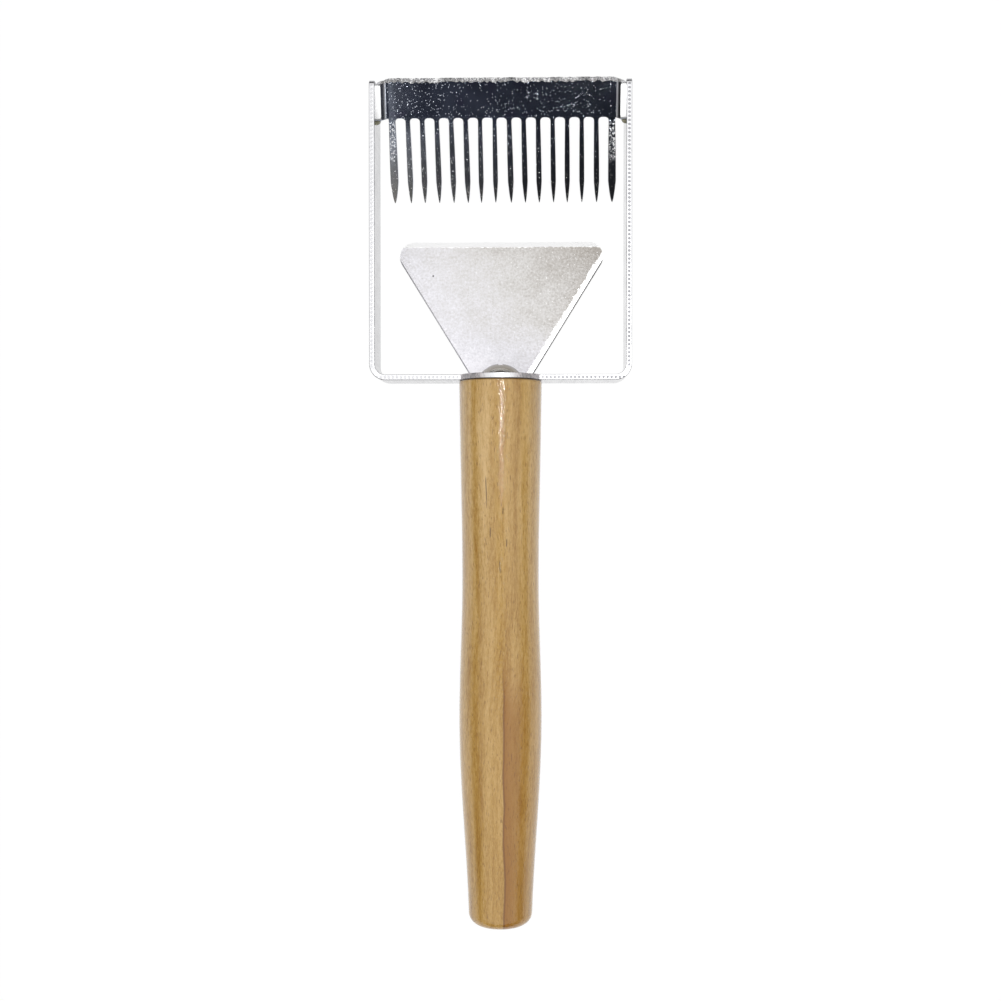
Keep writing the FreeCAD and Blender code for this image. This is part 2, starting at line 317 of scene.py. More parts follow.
def spots(tree, where, spacing_mm, radius_mm, share):
    """Mask of scattered round spots: their spacing, radius, and the share of them kept."""
    placed = add(
        tree, "ShaderNodeVectorMath", {0: where, 1: [1 / spacing_mm] * 3}, operation="MULTIPLY",
    )
    cells = add(
        tree, "ShaderNodeTexVoronoi", {"Vector": placed.outputs[0], "Scale": 1.0, "Randomness": 1.0},
    )
    edge = radius_mm / spacing_mm
    inside = span(tree, cells.outputs["Distance"], edge, edge * 0.5)
    kept = span(tree, axes(tree, cells.outputs["Color"])[0], share, share - 0.05)
    return times(tree, inside, kept)


def hairlines(tree, where, turn, width_mm, length_mm, low, high):
    """Mask of sparse hairline scratches lying at an angle to the X axis."""
    turned = add(
        tree, "ShaderNodeVectorRotate", {"Vector": where, "Angle": turn}, rotation_type="Z_AXIS",
    )
    line = noise(tree, turned.outputs[0], width_mm, (length_mm / width_mm, 1, 1), detail=0.0)
    return span(tree, line, low, high)


def blend_value(tree, factor, a, b):
    """Mix two plain values by a factor."""
    return add(tree, "ShaderNodeMix", {0: factor, 2: a, 3: b}, data_type="FLOAT").outputs[0]


def across_line(tree, x, y, point, direction):
    """Signed distance in mm from a line through a point, positive on its right."""
    from_x = minus(tree, x, point.x)
    from_y = minus(tree, y, point.y)
    return minus(tree, times(tree, from_x, direction.y), times(tree, from_y, direction.x))


def new_piece(name, mesh):
    """Object at the origin for a finished mesh."""
    piece = bpy.data.objects.new(name, mesh)
    bpy.context.scene.collection.objects.link(piece)
    return piece


def loft(name, sections):
    """Closed mesh through a row of closed sections with equal numbers of points."""
    count = len(sections[0])
    total = len(sections) * count
    faces = [tuple(range(count)), tuple(range(total - 1, total - count - 1, -1))]
    for row in range(len(sections) - 1):
        for k in range(count):
            near = row * count
            far = near + count
            following = (k + 1) % count
            faces.append((near + k, near + following, far + following, far + k))
    mesh = bpy.data.meshes.new(name)
    mesh.from_pydata([point for section in sections for point in section], [], faces)
    outward = bmesh.new()
    outward.from_mesh(mesh)
    bmesh.ops.recalc_face_normals(outward, faces=outward.faces)
    outward.to_mesh(mesh)
    outward.free()
    return mesh


# -------------------------------------------------------------- materials

def lacquered_rubberwood(settings):
    """Turned rubberwood under clear lacquer: straight golden grain with short dark pores, one
    darker growth line towards the butt, and a thin uneven skin that breaks up the highlight."""
    material, tree, mm = new_material("lacquered_rubberwood")
    x, y, z = axes(tree, mm)
    wander = span(tree, noise(tree, mm, 20.0, (1, 3, 1), detail=2.0), *NOISE, -2.5, 2.5)
    along = shifted(tree, mm, wander)
    bands = noise(tree, along, 2.8, (1, 24, 1), detail=2.0, roughness=0.4)
    streaks = noise(tree, along, 0.5, (1, 12, 1), detail=4.0, roughness=0.75)
    flecks = noise(tree, along, 0.55, (1, 3.5, 1), detail=4.0, roughness=0.8)
    grain = plus(tree, times(tree, bands, 0.34), times(tree, streaks, 0.33), times(tree, flecks, 0.33))
    colour = ramp(tree, grain, (
        (0.38, settings.grain_dark),
        (0.50, settings.wood),
        (0.61, settings.grain_light),
    ))
    deeper = span(tree, y, *WOOD_DEEPENS)
    colour = blend(tree, deeper, colour, linear(settings.butt_tint), "MULTIPLY")
    colour = with_growth_line(tree, mm, colour, settings)

    pores = noise(tree, along, 0.34, (1, 6.5, 1), detail=1.0, roughness=0.4)
    pore_mask = times(tree, span(tree, pores, 0.63, 0.70), 0.5)
    colour = blend(tree, pore_mask, colour, linear(settings.pore))
    on_front = span(tree, z, *WOOD_FRONT)
    for check in WOOD_CHECKS:
        mark = times(tree, wood_check(tree, x, y, *check), on_front, 0.7)
        colour = blend(tree, mark, colour, linear(settings.check))
    top = WOOD_TOP.y / MM
    # Painted shadow of the gap under the seat, over darker unlacquered end grain, in a thin band at the wood's
    # top edge.
    end_grain_and_gap_shadow = times(tree, span(tree, y, top - 0.7, top - 0.1), 0.8)
    colour = blend(tree, end_grain_and_gap_shadow, colour, linear(settings.check))

    skin = noise(tree, mm, 0.9, detail=2.0, roughness=0.55)
    surface(
        tree, Base_Color=colour, Roughness=0.5, IOR=1.45, Specular_IOR_Level=0.25,
        Coat_Weight=1.0, Coat_Roughness=0.06, Coat_IOR=1.55,
        Normal=bump(tree, pores, 0.04, 0.5),
        Coat_Normal=bump(tree, skin, 0.13, 1.0),
    )
    return material


def with_growth_line(tree, mm, colour, settings):
    """Wood colour with the dark growth line near the butt, and the band that fades beside it."""
    x, y, _ = axes(tree, mm)
    shows = span(tree, y, *GROWTH_LINE_SHOWS, smooth=True)
    from_line = plus(tree, x, span(tree, noise(tree, mm, 24.0), *NOISE, -1.7, -0.9))
    right_of_line = span(tree, from_line, -0.15, 0.35)
    fading = span(tree, from_line, 0.5, 9.0, 1.0, 0.15)
    band = times(tree, right_of_line, fading, shows, 0.95)
    colour = blend(tree, band, colour, linear(settings.growth_line))
    line = span(tree, unsigned(tree, minus(tree, from_line, 0.2)), 0.45, 0.15)
    return blend(tree, times(tree, line, shows, 0.7), colour, linear(settings.pore))


def wood_check(tree, x, y, middle_x, middle_y, length, lean):
    """Mask of one thin crack along the grain."""
    off_x = minus(tree, x, middle_x)
    off_y = minus(tree, y, middle_y)
    sideways = unsigned(tree, minus(tree, off_x, times(tree, off_y, lean)))
    thin = span(tree, sideways, 0.26, 0.08)
    within = span(tree, unsigned(tree, off_y), length * 0.5, length * 0.3)
    return times(tree, thin, within)


def rolled_stainless(settings):
    """Cold-rolled stainless strip: grey mirror-like sides with fine rolling lines, a turned
    rim round the seat, and bright sheared edges with a line of round shear marks."""
    material, tree, mm = new_material("rolled_stainless_strip")
    x, y, _ = axes(tree, mm)
    _, toward_comb, up = face_direction(tree)
    edge = span(tree, unsigned(tree, up), 0.90, 0.97)
    rim = span(tree, unsigned(tree, x), *SEAT_EDGE)
    cloud = noise(tree, mm, 5.0, detail=4.0)
    fine = noise(tree, mm, 0.22, (1, 1, 40), detail=2.0)
    grime = noise(tree, mm, 0.5, (1, 3, 1), detail=3.0, roughness=0.7)
    shaded_left_and_specks = linear(settings.strip_shaded_left_and_specks)
    dark = linear(settings.strip_dark)

    # Painted shade: the strip's sides darken towards the left and lighten towards the right, as the light
    # falls.
    sides = blend(tree, span(tree, x, -30.0, 40.0), shaded_left_and_specks, linear(settings.strip_lit_right))
    sides = blend(tree, span(tree, cloud, 0.35, 0.65, 0.0, 0.5), sides, dark)
    turned = times(tree, rim, span(tree, grime, 0.40, 0.56, 0.15, 0.7))
    sides = blend(tree, turned, sides, linear(settings.rim))
    under_edge = times(tree, span(tree, up, 0.15, 0.35), span(tree, toward_comb, -0.05, -0.3))
    sides = blend(tree, times(tree, under_edge, 0.8), sides, linear(settings.strip_shadow))

    marks = times(tree, shear_marks(tree, x, y), minus(tree, 1.0, rim))
    edges = blend(tree, span(tree, grime, 0.60, 0.72), linear(settings.strip_edge), shaded_left_and_specks)
    stronger_right = span(tree, x, -35.0, 35.0, 0.35, 1.0)
    edges = blend(tree, times(tree, marks, stronger_right), edges, dark)

    side_rough = plus(tree, span(tree, fine, *NOISE, 0.10, 0.22), times(tree, rim, 0.30))
    rough = blend_value(tree, edge, side_rough, span(tree, cloud, *NOISE, 0.32, 0.45))
    surface(
        tree, Base_Color=blend(tree, edge, sides, edges), Metallic=1.0, Roughness=rough,
        Normal=bump(tree, times(tree, marks, edge), 0.06, 0.7, bump(tree, fine, 0.006, 0.3)),
    )
    return material


def shear_marks(tree, x, y):
    """Mask of the round marks that the shear left in a line along the strip's edge."""
    half_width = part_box("frame")[1].x / MM
    base = WOOD_TOP.y / MM
    from_arm = minus(tree, unsigned(tree, x), half_width - STRIP_THICKNESS / 2)
    from_base = minus(tree, y, base + STRIP_THICKNESS / 2)
    on_arm = span(tree, y, base + BEND_START, base + BEND_START + 0.1)
    aside = blend_value(tree, on_arm, from_base, from_arm)
    along = blend_value(tree, on_arm, x, y)
    step = maths(tree, "FRACT", maths(tree, "DIVIDE", along, SHEAR_PITCH))
    ahead = times(tree, minus(tree, step, 0.5), SHEAR_PITCH)
    radius = maths(tree, "SQRT", plus(tree, times(tree, aside, aside), times(tree, ahead, ahead)))
    return span(tree, unsigned(tree, minus(tree, radius, SHEAR_RING)), *SHEAR_LINE)


def comb_zones(tree, mm):
    """Masks of the comb's mirror-flat front and back, its sheared ear edges, its bevelled top
    edge and its two bends."""
    _, y, z = axes(tree, mm)
    nx, ny, nz = face_direction(tree)
    origin = COMB_ORIGIN / MM
    along = math.cos(COMB_TILT)
    back = math.sin(COMB_TILT)
    rise = times(tree, minus(tree, z, origin.z), along)
    drop = times(tree, minus(tree, y, origin.y), back)
    height = minus(tree, rise, drop)
    facing = minus(tree, times(tree, nz, along), times(tree, ny, back))
    flat = span(tree, unsigned(tree, facing), 0.985, 0.997)
    raised = span(tree, height, 2.5, 3.5)
    mirror = times(tree, flat, minus(tree, 1.0, raised))
    sheared = times(tree, raised, span(tree, facing, 0.6, 0.9))
    bevel = times(tree, span(tree, ny, 0.1, 0.25), span(tree, nz, 0.3, 0.6))
    bends = times(tree, span(tree, unsigned(tree, nx), 0.06, 0.2), span(tree, nz, 0.15, 0.3))
    return mirror, sheared, bevel, bends


def comb_damage_and_glints(tree, mm):
    """Mask of pits and hairline scratches, and of the painted glints at the roots of the outer tines."""
    x, y, _ = axes(tree, mm)
    denser_left = span(tree, x, -40.0, 30.0, 0.62, 0.30)
    pits = times(tree, spots(tree, mm, 1.7, 0.22, 0.24), denser_left)
    fine_pits = times(tree, spots(tree, mm, 0.62, 0.14, 0.6), denser_left, 0.6)
    in_patches = span(tree, noise(tree, mm, 4.0), 0.62, 0.70, 0.0, 0.35)
    scratches = times(tree, hairlines(tree, mm, 0.75, 0.16, 2.4, 0.70, 0.78), in_patches)
    # Painted highlight: glints near the roots of the outer tines.
    low, full_low, full_high, high = OUTER_GLINTS_Y
    at_roots = times(tree, span(tree, y, low, full_low), span(tree, y, high, full_high))
    on_outer = times(tree, span(tree, unsigned(tree, x), *OUTER_GLINTS_X), at_roots)
    painted_root_glints = times(tree, span(tree, noise(tree, mm, 0.6, detail=2.0, roughness=0.7), 0.52, 0.62), on_outer)
    return most(tree, pits, fine_pits, scratches, painted_root_glints)


def polished_stainless(settings):
    """Mirror-polished stainless plate: dark where it mirrors the camera, with a painted darker
    reflection towards the right, pinprick pits and a few hairline scratches painted white as
    glints, painted glints at the outer tines' roots, and bright sheared edges."""
    material, tree, mm = new_material("polished_stainless_comb")
    x, y, _ = axes(tree, mm)
    mirror, sheared, bevel, bends = comb_zones(tree, mm)
    damage_and_glints = times(tree, comb_damage_and_glints(tree, mm), mirror)
    bright = linear(settings.edge_bright)

    cloud = span(tree, noise(tree, mm, 11.0, detail=2.0), 0.35, 0.65)
    colour = blend(tree, cloud, linear(settings.polished_dark), linear(settings.polished_light))
    violet = span(tree, noise(tree, mm, 5.0, detail=1.0), 0.56, 0.72, 0.0, 0.5)
    colour = blend(tree, violet, colour, linear(settings.polished_violet))
    # Painted reflection: the mirror plate darkens towards the right.
    darker_reflection_right = span(tree, x, -20.0, 25.0, 0.0, 0.55)
    colour = blend(tree, darker_reflection_right, colour, linear(settings.polished_right_reflection))
    to_tips = times(tree, span(tree, y, TINE_ROOT_Y / MM, TINE_TIP_Y / MM, 0.0, 0.8), mirror)
    colour = blend(tree, to_tips, colour, linear(settings.tine_olive))
    colour = blend(tree, sheared, colour, bright)
    speck = span(tree, noise(tree, mm, 0.5, detail=2.0, roughness=0.7), 0.44, 0.56)
    colour = blend(tree, bevel, colour, blend(tree, speck, linear(settings.strip_dark), bright))
    colour = blend(tree, times(tree, bends, 0.6), colour, linear(settings.bend_haze))
    # Painted highlight: the pits and scratches, and the glints at the outer roots, are painted white.
    colour = blend(tree, damage_and_glints, colour, bright)

    hazy_tines = times(tree, span(tree, y, 132.0, 126.0), span(tree, x, 15.0, -5.0))
    rough = plus(
        tree, span(tree, x, -40.0, 0.0, 0.085, 0.04), times(tree, damage_and_glints, 0.55),
        times(tree, hazy_tines, 0.07), times(tree, sheared, 0.38), times(tree, bevel, 0.22),
        times(tree, bends, 0.30),
    )
    waves = noise(tree, mm, 3.5, detail=1.0)
    surface(
        tree, Base_Color=colour, Metallic=1.0, Roughness=rough,
        Normal=bump(tree, damage_and_glints, 0.05, 0.8, bump(tree, waves, 0.006, 1.0)),
    )
    return material


def blade_ground_band_highlight(tree, mm, up):
    """Mask of the bands ground along the blade's top and right edges, ragged inside, painted white as a
    highlight.
    """
    x, y, _ = axes(tree, mm)
    low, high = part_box("scraper")
    top = high.y / MM
    foot = Vector((BLADE_FOOT_HALF, low.y / MM))
    slope = (Vector((BLADE_TOP_HALF, top)) - foot).normalized()
    ragged = span(tree, noise(tree, mm, 1.3, detail=5.0, roughness=0.8), *NOISE, -0.8, 0.8)
    to_right = times(tree, across_line(tree, x, y, foot, slope), -1.0)
    right_band = span(tree, plus(tree, to_right, ragged), 2.0, 1.8)
    to_top = minus(tree, top, y)
    top_band = span(tree, plus(tree, to_top, times(tree, ragged, 0.35)), 1.9, 1.75)
    return times(tree, most(tree, right_band, top_band), span(tree, up, 0.2, 0.5))


def blade_shade_and_mottle(tree, mm, mottle):
    """Painted shade of the blade, lighter at its foot and darker to the upper right, with random clouds and
    mottle.
    """
    x, y, _ = axes(tree, mm)
    shade = minus(tree, plus(tree, times(tree, x, 0.014), times(tree, y, 0.010)), 0.34)
    cloud = span(tree, noise(tree, mm, 9.0, detail=4.0, roughness=0.6), *NOISE, -0.14, 0.14)
    varied = times(tree, plus(tree, shade, cloud, mottle), 0.7)
    return plus(tree, varied, span(tree, y, 44.0, 62.0, 0.02, 0.30))


def blade_speck(tree, mm):
    """Mask of the one dark fleck on the blade."""
    x, y, _ = axes(tree, mm)
    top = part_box("scraper")[1].y / MM
    off_x = minus(tree, x, BLADE_SPECK.x)
    off_y = minus(tree, y, top + BLADE_SPECK.y)
    squared = plus(tree, times(tree, off_x, off_x), times(tree, off_y, off_y))
    return span(tree, squared, 0.14, 0.05, 0.0, 0.85)


def satin_stainless(settings):
    """Barrel-tumbled stainless blade: a fine satin grain with faint warm clouds and pinprick glints,
    painted shade from a light foot to a darker upper right, and smooth ground bands along its
    top and right edges, painted white as a highlight."""
    material, tree, mm = new_material("tumbled_satin_stainless")
    x, _, _ = axes(tree, mm)
    _, _, up = face_direction(tree)
    ground = blade_ground_band_highlight(tree, mm, up)
    depth = 0.24
    mottle = span(tree, noise(tree, mm, 0.8, detail=4.0, roughness=0.75), *NOISE, -depth, depth)
    # Painted shade: the ramp runs from the lit foot to the darker upper right, over random clouds and mottle.
    colour = ramp(tree, blade_shade_and_mottle(tree, mm, mottle), (
        (0.0, settings.blade_foot),
        (0.26, settings.blade_light),
        (0.62, settings.blade_mid),
        (1.0, settings.blade_dark),
    ))
    glints = times(tree, spots(tree, mm, 1.1, 0.20, 0.40), span(tree, x, -30.0, 30.0, 0.25, 0.9))
    colour = blend(tree, glints, colour, linear(WHITE))
    colour = blend(tree, blade_speck(tree, mm), colour, linear(settings.speck))
    # Painted highlight: the ground bands are painted white where their bevels catch the light.
    colour = blend(tree, ground, colour, linear(WHITE))
    grain = noise(tree, mm, 0.30, detail=3.0, roughness=0.7)
    scratch = hairlines(tree, mm, 1.1, 0.18, 5.0, 0.68, 0.76)
    rough = blend_value(tree, ground, span(tree, mottle, -depth, depth, 0.55, 0.68), 0.35)
    surface(
        tree, Base_Color=colour, Metallic=1.0, Roughness=rough,
        Normal=bump(tree, grain, 0.035, 0.45, bump(tree, scratch, 0.02, 0.5)),
    )
    return material


def polished_screw_steel(settings):
    """Polished screw head, faintly warm, with fine turning marks round its axis, painted lighter where it
    faces up and shaded darker on its sides.
    """
    material, tree, mm = new_material("polished_screw_steel")
    marks = noise(tree, mm, 0.5, detail=3.0)
    # Painted shade: the head's sides are darker and its upward faces lighter.
    painted_lit_crown = span(tree, face_direction(tree)[2], 0.10, 0.50, smooth=True)
    tone = blend(tree, painted_lit_crown, linear(settings.screw_shaded_sides), linear(settings.screw))
    tone = blend(tree, times(tree, marks, 0.5), tone, linear(settings.strip_dark))
    surface(
        tree, Base_Color=tone, Metallic=1.0,
        Roughness=span(tree, marks, *NOISE, 0.10, 0.22),
        Normal=bump(tree, marks, 0.012, 0.3),
    )
    return material


def heat_tinted_weld(settings):
    """Weld metal left as it cooled: straw and brown heat tint over a lumpy grey bead."""
    material, tree, mm = new_material("heat_tinted_weld")
    patches = noise(tree, mm, 1.2, detail=3.0)
    colour = ramp(tree, patches, ((0.35, settings.tint_brown), (0.62, settings.tint_straw)))
    surface(
        tree, Base_Color=colour, Metallic=1.0, Roughness=span(tree, patches, *NOISE, 0.34, 0.52),
        Normal=bump(tree, noise(tree, mm, 0.6), 0.1, 0.6),
    )
    return material


# ---------------------------------------------------------------- the comb

def fold(reach, lift, offset):
    """Point of the comb's cross-section, from its reach along the sheet to the end of the
    bend, its lift up the ear, and its offset from the front face, negative behind it."""
    if reach <= COMB_FLAT_HALF:
        return reach, offset
    radius = COMB_BEND_INNER - offset
    angle = (reach - COMB_FLAT_HALF) / COMB_BEND_INNER
    return COMB_FLAT_HALF + radius * math.sin(angle), COMB_BEND_INNER - radius * math.cos(angle) + lift


def sheet_section(side, reach, lift, chance):
    """One slice of the folded sheet, from its back top edge round to its back lower edge."""
    into_fade = reach - COMB_FLAT_HALF + COMB_BEVEL_FADE
    to_ear = min(max(into_fade / (COMB_BEND_LENGTH + COMB_BEVEL_FADE), 0.0), 1.0)
    near_top = max(COMB_EAR_CORNER - (COMB_EAR_TOP - lift), 0.0)
    rounding = COMB_EAR_CORNER - math.sqrt(COMB_EAR_CORNER ** 2 - near_top ** 2)
    ragged = chance.uniform(-1.0, 1.0) * (1.0 - to_ear)
    top = COMB_EAR_START * to_ear + rounding + COMB_BURR * (1 + ragged)
    bottom = COMB_BAND + (COMB_EAR_END - COMB_BAND) * to_ear - rounding
    bevel = COMB_BEVEL_WIDTH * (1.0 - to_ear) + COMB_EASED + COMB_BEVEL_RAGGED * ragged
    dip = COMB_BEVEL_DROP * (1.0 - to_ear) + COMB_EASED
    outline = (
        (top, -COMB_SHEET), (top, -dip), (top + bevel, 0.0),
        (bottom - COMB_CHAMFER, 0.0), (bottom, -COMB_CHAMFER), (bottom, -COMB_SHEET),
    )
    points = []
    for down, offset in outline:
        x, z = fold(reach, lift, offset)
        points.append((side * x, -down, z))
    return points


def comb_sheet_mesh():
    """Plate with its two ears folded forward, flat in its own frame, in millimetres."""
    chance = random.Random(COMB_SEED)
    flat_steps = 84
    bend_steps = 9
    lifts = [0.8, 1.6, 2.4, 2.9, 3.4, 3.8, 4.1, 4.4, 4.6, 4.75, 4.85, COMB_EAR_TOP]
    bend = [(COMB_FLAT_HALF + COMB_BEND_LENGTH * k / bend_steps, 0.0) for k in range(1, bend_steps + 1)]
    side_slices = bend + [(COMB_FLAT_HALF + COMB_BEND_LENGTH, lift) for lift in lifts]
    sections = [sheet_section(-1, reach, lift, chance) for reach, lift in reversed(side_slices)]
    for k in range(flat_steps + 1):
        reach = COMB_FLAT_HALF * (2 * k / flat_steps - 1)
        side = 1 if reach >= 0 else -1
        sections.append(sheet_section(side, abs(reach), 0.0, chance))
    sections += [sheet_section(1, reach, lift, chance) for reach, lift in side_slices]
    return loft("comb_sheet", sections)


def tine_mesh(name, width, left_flare, right_flare):
    """Tine whose front stays flat: round flares at its root and a full, ground point."""
    steps = 14
    stations = [-TINE_EMBEDDED, 0.0, 0.1, 0.25, 0.45, 0.7, 0.9, TINE_FLARE, 3.0, 8.0, 13.0, 18.0]
    stations += [TINE_LENGTH - TINE_POINT * (1 - k / steps) ** 1.4 for k in range(steps + 1)]
    sections = []
    for down in stations:
        unground = min(1.0, max(TINE_LENGTH - down, 0.0) / TINE_POINT)
        swollen = min(max(down - TINE_NECK_LENGTH, 0.0) / TINE_SWELL_LENGTH, 1.0)
        leaf = TINE_NECK + TINE_SWELL * math.sin(math.pi / 2 * swollen)
        half = max(width / 2 * leaf * unground ** TINE_POINT_FULLNESS, TINE_TIP_HALF)
        inside = TINE_FLARE - min(max(down, 0.0), TINE_FLARE)
        flare = TINE_FLARE - math.sqrt(TINE_FLARE ** 2 - inside ** 2)
        left = half + flare * left_flare
        right = half + flare * right_flare
        thick = TINE_TIP_THICKNESS + (COMB_SHEET + TINE_FRONT - TINE_TIP_THICKNESS) * unground
        chamfer = min(TINE_CHAMFER, half * 0.4)
        side = TINE_FRONT - chamfer
        sections.append([
            (-left, -down, -thick), (right, -down, -thick), (right, -down, side),
            (right - chamfer, -down, TINE_FRONT), (-left + chamfer, -down, TINE_FRONT),
            (-left, -down, side),
        ])
    return loft(name, sections)


COMB_INPUTS = (
    ("Inner Tine", "NodeSocketObject"), ("Left Tine", "NodeSocketObject"),
    ("Right Tine", "NodeSocketObject"), ("Inner Tines", "NodeSocketInt"),
    ("Spacing", "NodeSocketFloat"), ("Outer Place", "NodeSocketFloat"),
    ("Row Shift", "NodeSocketFloat"), ("Root Depth", "NodeSocketFloat"),
    ("Lean", "NodeSocketFloat"), ("Lean Spread", "NodeSocketFloat"),
    ("Width Spread", "NodeSocketFloat"), ("Seed", "NodeSocketInt"),
    ("Pitch", "NodeSocketVector"), ("Place", "NodeSocketVector"), ("Material", "NodeSocketMaterial"),
)


def comb_tree():
    """Geometry Nodes tree: a row of slightly uneven tines joined to the plate."""
    tree = bpy.data.node_groups.new("comb_tines", "GeometryNodeTree")
    tree.interface.new_socket(name="Geometry", in_out="INPUT", socket_type="NodeSocketGeometry")
    for name, kind in COMB_INPUTS:
        tree.interface.new_socket(name=name, in_out="INPUT", socket_type=kind)
    tree.interface.new_socket(name="Geometry", in_out="OUTPUT", socket_type="NodeSocketGeometry")
    given = add(tree, "NodeGroupInput").outputs

    def number(operation, a, b=0.0):
        return add(tree, "ShaderNodeMath", {0: a, 1: b}, operation=operation).outputs[0]

    def point(x=0.0, y=0.0, z=0.0):
        return add(tree, "ShaderNodeCombineXYZ", {0: x, 1: y, 2: z}).outputs[0]

    def about(middle, spread, seed_step):
        low = number("SUBTRACT", middle, spread)
        high = number("ADD", middle, spread)
        seed = number("ADD", given["Seed"], seed_step)
        made = add(tree, "FunctionNodeRandomValue", {2: low, 3: high, 8: seed}, data_type="FLOAT")
        return made.outputs[1]

    def tine(kind):
        return add(tree, "GeometryNodeObjectInfo", {"Object": given[kind]}).outputs["Geometry"]

    first = number("MULTIPLY", number("SUBTRACT", given["Inner Tines"], 1.0), -0.5)
    first = number("ADD", number("MULTIPLY", first, given["Spacing"]), given["Row Shift"])
    root = number("MULTIPLY", given["Root Depth"], -1.0)
    row = add(tree, "GeometryNodeMeshLine", {
        "Count": given["Inner Tines"],
        "Start Location": point(first, root),
        "Offset": point(given["Spacing"]),
    }, mode="OFFSET").outputs[0]
    inner = add(tree, "GeometryNodeInstanceOnPoints", {
        "Points": row, "Instance": tine("Inner Tine"),
        "Rotation": point(0.0, 0.0, about(given["Lean"], given["Lean Spread"], 0.0)),
        "Scale": point(about(1.0, given["Width Spread"], 7.0), 1.0, 1.0),
    }).outputs[0]
    tines = add(tree, "GeometryNodeJoinGeometry", {0: inner}).outputs[0]
    for kind, side in (("Left Tine", -1.0), ("Right Tine", 1.0)):
        place = number("ADD", number("MULTIPLY", given["Outer Place"], side), given["Row Shift"])
        outer = add(tree, "GeometryNodeTransform", {
            "Geometry": tine(kind),
            "Translation": point(place, root),
            "Rotation": point(0.0, 0.0, given["Lean"]),
        }).outputs[0]
        tree.links.new(outer, tines.node.inputs[0])
    solid = add(tree, "GeometryNodeRealizeInstances", {0: tines}).outputs[0]
    joined = add(tree, "GeometryNodeMeshBoolean", {1: solid}, operation="UNION", solver="EXACT")
    tree.links.new(given["Geometry"], joined.inputs[1])
    leaning = add(tree, "GeometryNodeTransform", {
        "Geometry": joined.outputs[0],
        "Rotation": given["Pitch"],
        "Translation": given["Place"],
        "Scale": (MM, MM, MM),
    }).outputs[0]
    real = add(tree, "GeometryNodeRealizeInstances", {0: leaning}).outputs[0]
    dressed = add(
        tree, "GeometryNodeSetMaterial", {"Geometry": real, "Material": given["Material"]},
    ).outputs[0]
    add(tree, "NodeGroupOutput", {0: dressed})
    return tree


def run_tree(carrier, tree, values):
    """Give a carrier object a tree with its inputs, and return the mesh it makes."""
    modifier = carrier.modifiers.new(tree.name, "NODES")
    modifier.node_group = tree
    for socket in tree.interface.items_tree:
        if socket.in_out == "INPUT" and socket.name in values:
            modifier[socket.identifier] = values[socket.name]
    carrier.update_tag()
    ready = bpy.context.evaluated_depsgraph_get()
    ready.update()
    mesh = bpy.data.meshes.new_from_object(carrier.evaluated_get(ready))
    carrier.modifiers.clear()
    return mesh


def smooth_by_angle(mesh, degrees):
    """Shade smooth, with sharp edges past an angle."""
    mesh.shade_smooth()
    mesh.set_sharp_from_angle(angle=math.radians(degrees))


def discard(helpers):
    """Remove objects that only served to build others."""
    for helper in helpers:
        bpy.data.objects.remove(helper)


# --------------------------------------------------------------- settings

